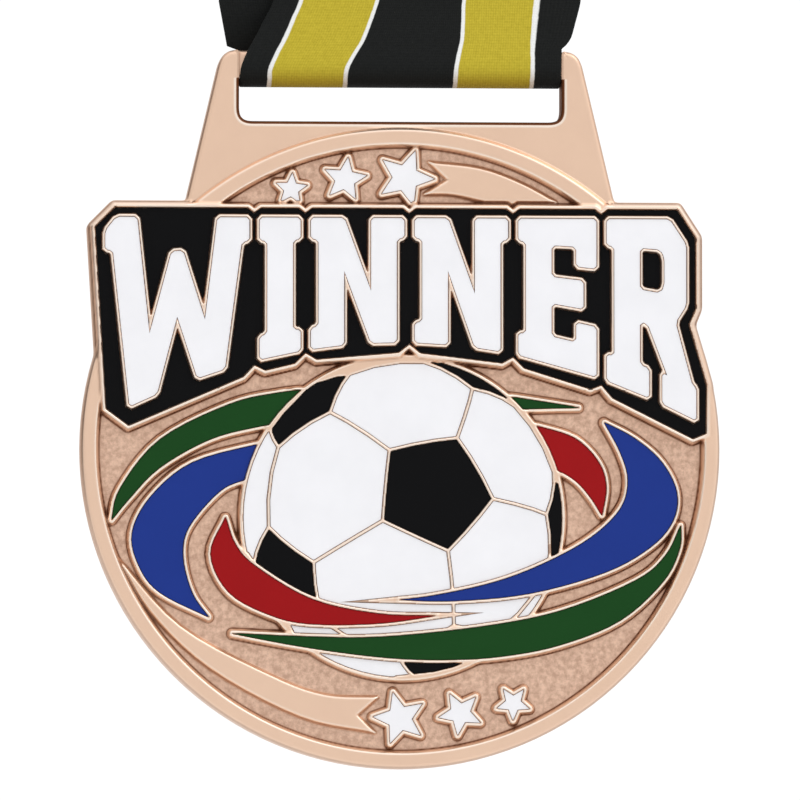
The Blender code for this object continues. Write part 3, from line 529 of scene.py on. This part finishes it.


# ---- The enamel ----------------------------------------------------------------------------------
# Soft enamel, poured into each pocket and baked: smooth, softly glossy, and very slightly uneven.
# Where metal stands close over it, an occlusion node paints shade into its colour.
def enamel(name, colour, painted_shade_colour, roughness, gloss):
    """A fill of one colour, with painted shade in a darker colour where metal stands close over it."""
    material, shader, add, link = node_material(name)
    place = add("ShaderNodeTexCoord").outputs["Object"]
    cloud = noise(add, link, place, 220.0, 3.0, 0.5)
    body = mixed(add, link, cloud, tuple(c * 0.95 for c in colour), tuple(min(1.0, c * 1.04) for c in colour))
    # Painted shade: an occlusion node darkens the colour where metal stands close.
    shade = add("ShaderNodeAmbientOcclusion", Distance=0.0005, samples=6)
    near = ramp(add, link, shade.outputs["AO"], [(0.35, (1, 1, 1)), (0.8, (0, 0, 0))])
    link(mixed(add, link, near, body, painted_shade_colour), shader.inputs["Base Color"])
    shader.inputs["Roughness"].default_value = roughness
    shader.inputs["Specular IOR Level"].default_value = gloss
    bump = add("ShaderNodeBump", Strength=0.06, Distance=0.0001)
    link(noise(add, link, place, 420.0, 2.0, 0.5), bump.inputs["Height"])
    link(bump.outputs["Normal"], shader.inputs["Normal"])
    return material


# The second colour of each enamel is the painted shade it takes next to the metal.
enamels = {
    "white_enamel": enamel("white_enamel", (0.925, 0.92, 0.93), (0.50, 0.46, 0.48), 0.3, 0.12),
    "black_enamel": enamel("black_enamel", (0.0048, 0.0048, 0.0052), (0.002, 0.002, 0.002), 0.34, 0.05),
    "green_enamel": enamel("green_enamel", (0.0095, 0.060, 0.0115), (0.003, 0.02, 0.004), 0.3, 0.08),
    "blue_enamel": enamel("blue_enamel", (0.0145, 0.039, 0.25), (0.006, 0.013, 0.09), 0.3, 0.08),
    "red_enamel": enamel("red_enamel", (0.335, 0.0068, 0.0085), (0.12, 0.003, 0.004), 0.3, 0.08),
}
slot_of = {row["node"]: row["material_slot"] for row in frame["record"]["subparts"]}
for name in enamel_nodes:
    piece = nodes[name]
    piece.data.materials.clear()
    piece.data.materials.append(enamels[slot_of[name]])


# ---- The neck ribbon -----------------------------------------------------------------------------
# One woven polyester strip, 38 mm wide and 813 mm (32 in) long. Its two strands rise from the fold
# round the bar and zigzag together into a hank of sixteen layers; the ends are sewn at the back.
hank_low, hank_high = (np.array(v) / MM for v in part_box("ribbon_hank"))
WIDTH, LENGTH, THICK = 37.8, 813.0, 0.42
LAYERS = 16
axis_z = frame["joints"][0]["pos_m"][2] / MM
TO_CLOTH_MIDDLE, FOLD_ROOM, RUN_POINTS = 0.225, 0.9, 22
fold_radius = axis_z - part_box("neck_ribbon")[0].z / MM - TO_CLOTH_MIDDLE
pitch = (hank_high[1] - hank_low[1]) / LAYERS
rng = np.random.default_rng(7)


def arc(y0, y1, z, up, steps=9):
    """Points half round a fold from one layer to another, bulging up or down."""
    a = np.linspace(0, math.pi, steps)
    r = abs(y1 - y0) / 2
    return [(0.5 * (y0 + y1) + (y0 - y1) / 2 * math.cos(t), z + up * r * math.sin(t)) for t in a]


def layer_y(layer):
    """How far back a layer of the hank lies, counted from the front."""
    return hank_low[1] + (layer + 0.5) * pitch


def zigzag(layers, start_up):
    """One strand's way through the hank from the strands outwards: (y, z) points, run by run."""
    top, low = hank_high[2] - FOLD_ROOM, hank_low[2] + FOLD_ROOM
    path, going_up = [], start_up
    for layer, following in zip(layers, layers[1:] + [None]):
        ends = (low, top) if going_up else (top, low)
        path += [(layer_y(layer), z) for z in np.linspace(*ends, RUN_POINTS)[1:-1]]
        if following is not None:
            path += arc(layer_y(layer), layer_y(following), ends[1], 1 if going_up else -1)
        going_up = not going_up
    return path


# Above the bar the two strands close up on each other as the power 1.2 of a quarter sine.
TOGETHER = 0.28
strand_height = hank_low[2] - axis_z
strand_z = np.linspace(0, strand_height, 26)
strand_y = fold_radius + (TOGETHER - fold_radius) * np.sin(strand_z / strand_height * math.pi / 2) ** 1.2
front_strand = [(-y, axis_z + z) for y, z in zip(strand_y, strand_z)]
back_strand = [(y, axis_z + z) for y, z in zip(strand_y, strand_z)]
front_strand[-1] = (layer_y(0), front_strand[-1][1])
back_strand[-1] = (layer_y(1), back_strand[-1][1])
turn_under = [(-fold_radius * math.cos(a), axis_z - fold_radius * math.sin(a))
              for a in np.linspace(0, math.pi, 22)[1:-1]]
front_way = zigzag([0, 3, 4, 7, 8, 11, 12, 15], True)
back_way = zigzag([1, 2, 5, 6, 9, 10, 13, 14], True)
way = np.array(front_way[::-1] + front_strand[::-1] + turn_under + back_strand + back_way)
IN_FRONT_HANK, FRONT_STRAND, UNDER_BAR, BACK_STRAND, IN_BACK_HANK = range(5)
part = np.repeat(range(5), [len(p) for p in (front_way, front_strand, turn_under, back_strand, back_way)])
for _ in range(2):
    way[1:-1] = (way[:-2] + 2 * way[1:-1] + way[2:]) / 4
along = np.concatenate([[0], np.cumsum(np.linalg.norm(np.diff(way, axis=0), axis=1))])

# How far sideways each edge and stripe line of the front strand lies, at heights above the bar: the
# strand leans and gathers as it rises. Both strands leave the ears room to swing past them.
flat_lines = np.array([-18.9, -15.35, -6.8, 6.8, 15.35, 18.9])
lean_z = np.array([-0.6, 1.8, 2.9, 7.55, 11.6])
EARS_REACH, BETWEEN_EARS, STEP_OUT = 2.33, 19.0, 0.47
front_lines = np.array([
    [-18.9, -15.35, -6.8, 6.8, 15.45, 18.9],
    [-17.9, -14.1, -5.3, 7.3, 15.45, 18.95],
    [-17.2, -13.5, -4.6, 7.6, 15.45, 20.1],
    [-14.8, -11.5, -2.85, 7.8, 15.9, 21.4],
    [-14.4, -11.0, -2.3, 8.4, 16.6, 21.6],
])
COLUMNS = 56
across = np.linspace(-WIDTH / 2, WIDTH / 2, COLUMNS)
above_bar = way[:, 1] - axis_z
line_x = np.stack([np.interp(above_bar, lean_z, front_lines[:, n]) for n in range(6)], axis=1)
for _ in range(2):
    line_x[1:-1] = (line_x[:-2] + 2 * line_x[1:-1] + line_x[2:]) / 4
leaning = np.stack([np.interp(across, flat_lines, row) for row in line_x])
leaning = np.where(above_bar[:, None] < EARS_REACH, np.clip(leaning, -BETWEEN_EARS, BETWEEN_EARS), leaning)
BACK_LEAN = -2.4
back_z, back_x = [EARS_REACH - STEP_OUT, EARS_REACH, 7.55, 11.6], [0, -1.35, BACK_LEAN, BACK_LEAN]
back_shift = np.interp(above_bar, back_z, back_x)
x = np.broadcast_to(across, (len(way), COLUMNS)).copy()
in_front = (part == FRONT_STRAND) | ((part == UNDER_BAR) & (way[:, 0] < 0))
x[in_front] = leaning[in_front]
x[part == BACK_STRAND] += back_shift[part == BACK_STRAND][:, None]


def settled(count):
    """0 to 1 over the first 6 % of a way, eased as t^2 (3 - 2 t)."""
    t = np.clip(np.linspace(0, 1, count) / 0.06, 0, 1)[:, None]
    return t * t * (3 - 2 * t)


def unevenness(count):
    """How far sideways the layers of a way stray, between nine random values."""
    return np.interp(np.arange(count), np.linspace(0, count, 9), rng.uniform(-0.35, 0.35, 9))[:, None]


# The hank's layers lie a little unevenly, and each strand eases into its first layer.
last = leaning[np.flatnonzero(part == FRONT_STRAND)[0]]
stray = across + 0.9 + unevenness(len(front_way)) - last
x[part == IN_FRONT_HANK] = last + stray * settled(len(front_way))[::-1]
x[part == IN_BACK_HANK] = across + BACK_LEAN + (1.5 + unevenness(len(back_way))) * settled(len(back_way))

ahead = np.gradient(way, axis=0)
normal = np.stack([-ahead[:, 1], ahead[:, 0]], axis=1) / np.linalg.norm(ahead, axis=1, keepdims=True)
# The strip's section: a thin flat oval whose rims are rounded like a woven selvedge.
half = THICK / 2
rim_lift = half * np.sin(np.radians([60, 30, 0, -30, -60]))
section = [(u, half, 0) for u in np.linspace(0, 1, COLUMNS)] + [(1, rise, 1) for rise in rim_lift]
section += [(u, -half, 0) for u in np.linspace(1, 0, COLUMNS)] + [(0, -rise, -1) for rise in rim_lift]
share, lift, bulge = np.array(section).T
rim_out = bulge * np.sqrt(np.clip(half**2 - lift**2, 0, None))
px = np.stack([np.interp(share, np.linspace(0, 1, COLUMNS), row) for row in x]) + rim_out
py = way[:, :1] + normal[:, :1] * lift
pz = way[:, 1:] + normal[:, 1:] * lift
points = np.stack([px, py, pz], axis=-1).reshape(-1, 3) * MM
stations, around = px.shape
k = np.arange(stations - 1)[:, None] * around
start = np.arange(around)
step = (start + 1) % around
sides = quads(k + start, k + around + start, k + around + step, k + step)
caps = np.stack([start, (stations - 1) * around + start[::-1]])
uv = np.stack([np.broadcast_to(share, px.shape), np.broadcast_to(along[:, None] * MM, px.shape)], axis=-1)
inner = np.broadcast_to(lift > 0, px.shape).astype(float)
ribbon = finished_mesh("ribbon_strip", points, [sides, caps], {"inner_side": inner}, uv.reshape(-1, 2))

# Weave: fine cords across the strip, black with two gold stripes that white threads edge. The
# stripes are in the outer side only, and the inner side is black.
woven, shader, add, link = node_material("woven_ribbon")
coordinates = add("ShaderNodeSeparateXYZ")
link(add("ShaderNodeUVMap", uv_map="UVMap").outputs["UV"], coordinates.inputs[0])
place = add("ShaderNodeTexCoord").outputs["Object"]
u, v = coordinates.outputs[0], coordinates.outputs[1]
wander = maths(add, link, "SUBTRACT", noise(add, link, place, 900.0, 2.0), 0.5)
wobble = maths(add, link, "MULTIPLY", wander, 0.004)
from_middle = maths(add, link, "ADD", maths(add, link, "SUBTRACT", u, 0.5), wobble)
from_middle = maths(add, link, "ABSOLUTE", from_middle)
STRIPE_IN, STRIPE_OUT, PIPING, BLUR = 6.8 / WIDTH, 15.35 / WIDTH, 0.5 / WIDTH, 0.0015
CORD, WARP_THREAD = 0.34, 0.3


def within(low, high):
    """1 where the distance from the middle lies between two values, with a short soft edge."""
    rising = add("ShaderNodeMapRange", **{"From Min": low - BLUR, "From Max": low + BLUR})
    falling = add("ShaderNodeMapRange", **{"From Min": high - BLUR, "From Max": high + BLUR})
    falling.inputs["To Min"].default_value = 1.0
    falling.inputs["To Max"].default_value = 0.0
    link(from_middle, rising.inputs[0])
    link(from_middle, falling.inputs[0])
    return maths(add, link, "MULTIPLY", rising.outputs[0], falling.outputs[0])


cords = add("ShaderNodeMath", operation="SINE")
link(maths(add, link, "MULTIPLY", v, 2 * math.pi / (CORD * MM)), cords.inputs[0])
warp = add("ShaderNodeMath", operation="SINE")
link(maths(add, link, "MULTIPLY", u, 2 * math.pi * WIDTH / WARP_THREAD), warp.inputs[0])
weave = maths(add, link, "ADD", maths(add, link, "MULTIPLY", cords.outputs[0], 0.08),
              maths(add, link, "MULTIPLY", warp.outputs[0], 0.1))
fuzz = noise(add, link, place, 2600.0, 3.0, 0.7)
threads = maths(add, link, "ADD", weave, fuzz)
tone = add("ShaderNodeMapRange", **{"From Min": 0.1, "From Max": 0.9})
link(threads, tone.inputs[0])
black = mixed(add, link, tone.outputs[0], (0.0065, 0.0072, 0.0068), (0.0135, 0.0145, 0.0135))
gold = mixed(add, link, tone.outputs[0], (0.42, 0.33, 0.022), (0.62, 0.50, 0.045))
white = mixed(add, link, tone.outputs[0], (0.80, 0.80, 0.76), (0.93, 0.93, 0.90))
cloth = mixed(add, link, within(STRIPE_IN - PIPING, STRIPE_OUT + PIPING), black, white)
cloth = mixed(add, link, within(STRIPE_IN, STRIPE_OUT), cloth, gold)
# The cloth is darker near the fold round the bar: partly soil where it rubs, partly painted shade.
fold_v = float(along[part == UNDER_BAR].mean()) * MM
from_fold = maths(add, link, "ABSOLUTE", maths(add, link, "SUBTRACT", v, fold_v))
soil_and_shade = add("ShaderNodeMapRange", **{"From Min": 0.001, "From Max": 0.0038, "To Min": 0.75, "To Max": 0.0})
soil_and_shade.interpolation_type = "SMOOTHSTEP"
link(from_fold, soil_and_shade.inputs[0])
rubbed_and_shaded = add("ShaderNodeMix", data_type="RGBA", blend_type="MULTIPLY")
link(soil_and_shade.outputs[0], rubbed_and_shaded.inputs[0])
link(cloth, rubbed_and_shaded.inputs[6])
rubbed_and_shaded.inputs[7].default_value = (0.62, 0.45, 0.30, 1)
inner_side = add("ShaderNodeAttribute", attribute_name="inner_side").outputs["Fac"]
cloth = mixed(add, link, inner_side, rubbed_and_shaded.outputs[2], black)
link(cloth, shader.inputs["Base Color"])
shader.inputs["Roughness"].default_value = 0.85
shader.inputs["Specular IOR Level"].default_value = 0.12
shader.inputs["Sheen Weight"].default_value = 0.03
bump = add("ShaderNodeBump", Strength=0.5, Distance=0.00012)
link(threads, bump.inputs["Height"])
link(bump.outputs["Normal"], shader.inputs["Normal"])
ribbon.data.materials.append(woven)
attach(ribbon, "ribbon")
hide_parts("neck_ribbon", "ribbon_hank")


# ---- The band round the hank ---------------------------------------------------------------------
# A loop of black ribbed elastic that keeps the hank folded.
band_low, band_high = (np.array(v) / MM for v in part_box("hank_band"))
band_middle = (band_low + band_high) / 2
half_size = (band_high - band_low) / 2
BAND, RIBS, RIB_HEIGHT = 0.8, 7, 0.07
turn = np.linspace(0, 2 * math.pi, 240, endpoint=False)


def round_corners(half_x, half_y, a):
    """A rectangle with rounded corners: a superellipse of the fourteenth power."""
    r = (np.abs(np.cos(a)) ** 14 + np.abs(np.sin(a)) ** 14) ** (-1 / 14)
    return half_x * r * np.cos(a), half_y * r * np.sin(a)


t = np.linspace(-1, 1, 57)
ribs = RIB_HEIGHT * np.abs(np.cos(t * RIBS * math.pi / 2)) * (1 - t**8)
outside = [(half_size[2] * s, -0.12 + rib) for s, rib in zip(t, ribs)]
inside = [(half_size[2] * s, -BAND) for s in t[::-1]]
rows = []
for z, depth in outside + inside:
    x, y = round_corners(half_size[0] + depth, half_size[1] + depth, turn)
    rows.append(np.stack([x, y, np.full(len(turn), z)], axis=1) + band_middle)
points = np.array(rows).reshape(-1, 3) * MM
m, n = len(rows), len(turn)
i, j = np.arange(m)[:, None], np.arange(n)
i2, j2 = (i + 1) % m, (j + 1) % n
faces = quads(i * n + j, i * n + j2, i2 * n + j2, i2 * n + j)
uv = np.stack(np.meshgrid(np.linspace(0, 1, m), turn / (2 * math.pi), indexing="ij"), axis=-1)
band = finished_mesh("elastic_band", points, faces, None, uv.reshape(-1, 2))
elastic, shader, add, link = node_material("band_elastic")
place = add("ShaderNodeTexCoord").outputs["Object"]
knit = noise(add, link, place, 1800.0, 3.0, 0.7)
link(mixed(add, link, knit, (0.010, 0.010, 0.011), (0.03, 0.03, 0.032)), shader.inputs["Base Color"])
shader.inputs["Roughness"].default_value = 0.8
shader.inputs["Specular IOR Level"].default_value = 0.2
bump = add("ShaderNodeBump", Strength=0.5, Distance=0.0001)
link(knit, bump.inputs["Height"])
link(bump.outputs["Normal"], shader.inputs["Normal"])
band.data.materials.append(elastic)
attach(band, "ribbon")
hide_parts("hank_band")


# ---- The seam ------------------------------------------------------------------------------------
# Where the ribbon's ends overlap they are sewn flat: a box of black stitches with a cross in it.
seam_low, seam_high = (np.array(v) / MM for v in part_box("seam_stitching"))
corners = [(seam_low[0], seam_low[2]), (seam_high[0], seam_low[2]),
           (seam_high[0], seam_high[2]), (seam_low[0], seam_high[2])]
lines = [(corners[a], corners[b]) for a, b in ((0, 1), (1, 2), (2, 3), (3, 0), (0, 2), (1, 3))]
STITCH, THREAD, SIDES = 1.9, 0.16, 8
seam_y = layer_y(LAYERS - 1) + THICK / 2
ring_angle = np.linspace(0, 2 * math.pi, SIDES, endpoint=False)
bead = np.linspace(-1, 1, 9)
stitches, faces, first = [], [], 0
for (ax, az), (bx, bz) in lines:
    length = math.hypot(bx - ax, bz - az)
    number = max(2, round(length / (STITCH * 1.35)))
    dx, dz = (bx - ax) / length, (bz - az) / length
    for at in (np.arange(number) + 0.5) / number:
        cx, cz = ax + (bx - ax) * at, az + (bz - az) * at
        reach = bead[:, None] * STITCH / 2
        thick = THREAD * np.sqrt(np.clip(1.02 - bead**2, 0, 1))[:, None]
        side = thick * np.cos(ring_angle)[None]
        high = thick * np.sin(ring_angle)[None] + 0.18 * (1 - bead[:, None] ** 2) - 0.08
        px = cx + dx * reach - dz * side
        pz = cz + dz * reach + dx * side
        stitches.append(np.stack([px, seam_y + high, pz], axis=-1).reshape(-1, 3))
        k = np.arange(len(bead) - 1)[:, None] * SIDES + first
        start = np.arange(SIDES)
        step = (start + 1) % SIDES
        faces.append(quads(k + start, k + step, k + step + SIDES, k + start + SIDES))
        first += len(bead) * SIDES
seam = finished_mesh("seam_stitches", np.vstack(stitches) * MM, np.vstack(faces))
thread, shader, add, link = node_material("thread")
place = add("ShaderNodeTexCoord").outputs["Object"]
twist = noise(add, link, place, 3000.0, 2.0)
link(mixed(add, link, twist, (0.012, 0.012, 0.013), (0.04, 0.04, 0.042)), shader.inputs["Base Color"])
shader.inputs["Roughness"].default_value = 0.6
seam.data.materials.append(thread)
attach(seam, "ribbon")
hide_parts("seam_stitching")


# ---- The studio ----------------------------------------------------------------------------------
# A pale floor well below the hanging medal, an even white surround and soft lights.
floor_mesh = bpy.data.meshes.new("floor")
floor_z = plate_low.z - 0.12
floor_corners = [(x, y, floor_z) for x, y in ((-3, -3), (3, -3), (3, 3), (-3, 3))]
floor_mesh.from_pydata(floor_corners, [], [(0, 1, 2, 3)])
floor = bpy.data.objects.new("floor", floor_mesh)
bpy.context.scene.collection.objects.link(floor)
pale, shader, add, link = node_material("pale_floor")
shader.inputs["Base Color"].default_value = (0.86, 0.86, 0.86, 1)
shader.inputs["Roughness"].default_value = 0.9
floor_mesh.materials.append(pale)

world = bpy.data.worlds.new("surround")
bpy.context.scene.world = world
world.use_nodes = True
background = world.node_tree.nodes["Background"]
add, link = node_tools(world.node_tree)
direction = add("ShaderNodeTexCoord").outputs["Generated"]


def facing(way, low, high):
    """How much a direction agrees with a given one, as 0 to 1 between two values of their cosine."""
    agree = add("ShaderNodeVectorMath", operation="DOT_PRODUCT")
    agree.inputs[1].default_value = Vector(way).normalized()
    link(direction, agree.inputs[0])
    spread = add("ShaderNodeMapRange", **{"From Min": low, "From Max": high})
    link(agree.outputs["Value"], spread.inputs[0])
    return spread.outputs[0]


# The surround is warm below and pale above, with a dark side that shades the rim on the left.
sky = ramp(add, link, facing((0.3, -0.2, 0.93), -1, 1), [
    (0.0, (0.42, 0.20, 0.07)), (0.3, (0.32, 0.20, 0.12)), (0.45, (0.44, 0.43, 0.425)),
    (0.6, (0.5, 0.5, 0.505)), (1.0, (0.86, 0.87, 0.9)),
])
shaded = mixed(add, link, facing((-1, 0.05, 0.0), 0.8, 0.93), sky, (0.03, 0.016, 0.012))
seen = add("ShaderNodeLightPath").outputs["Is Camera Ray"]
link(mixed(add, link, seen, shaded, (0.7, 0.7, 0.7)), background.inputs["Color"])
background.inputs["Strength"].default_value = 1.5


def softbox(name, place, target, size, power):
    """A rectangular light of a size and power, turned to face its target."""
    light = bpy.data.lights.new(name, "AREA")
    light.shape = "RECTANGLE"
    light.size, light.size_y = size
    light.energy = power
    obj = bpy.data.objects.new(name, light)
    obj.location = place
    obj.rotation_euler = (Vector(target) - Vector(place)).to_track_quat("-Z", "Y").to_euler()
    bpy.context.scene.collection.objects.link(obj)


aim = (0, 0, CENTRE * MM)
softbox("key", (0.45, -0.35, CENTRE * MM + 0.55), aim, (0.35, 0.35), 0.55)
softbox("side", (-0.6, -0.3, CENTRE * MM + 0.25), aim, (0.2, 0.5), 0.1)

# The camera, a little to the left and below, far enough away that the view is almost flat.
FRAME_WIDTH, FRAME_UP = 0.095, 5.82
AZIMUTH, ELEVATION, AWAY = math.radians(-4), math.radians(-3), 1.4
camera = bpy.data.cameras.new("camera")
camera.sensor_width = 36.0
camera.lens = 36.0 * AWAY / FRAME_WIDTH
camera.clip_start = 0.05
eye = bpy.data.objects.new("camera", camera)
look_at = Vector((0, -0.001, (CENTRE + FRAME_UP) * MM))
level = math.cos(ELEVATION)
towards_eye = Vector((math.sin(AZIMUTH) * level, -math.cos(AZIMUTH) * level, math.sin(ELEVATION)))
eye.location = look_at + towards_eye * AWAY
eye.rotation_euler = (-towards_eye).to_track_quat("-Z", "Y").to_euler()
bpy.context.scene.collection.objects.link(eye)
bpy.context.scene.camera = eye
bpy.context.scene.view_settings.view_transform = "Standard"
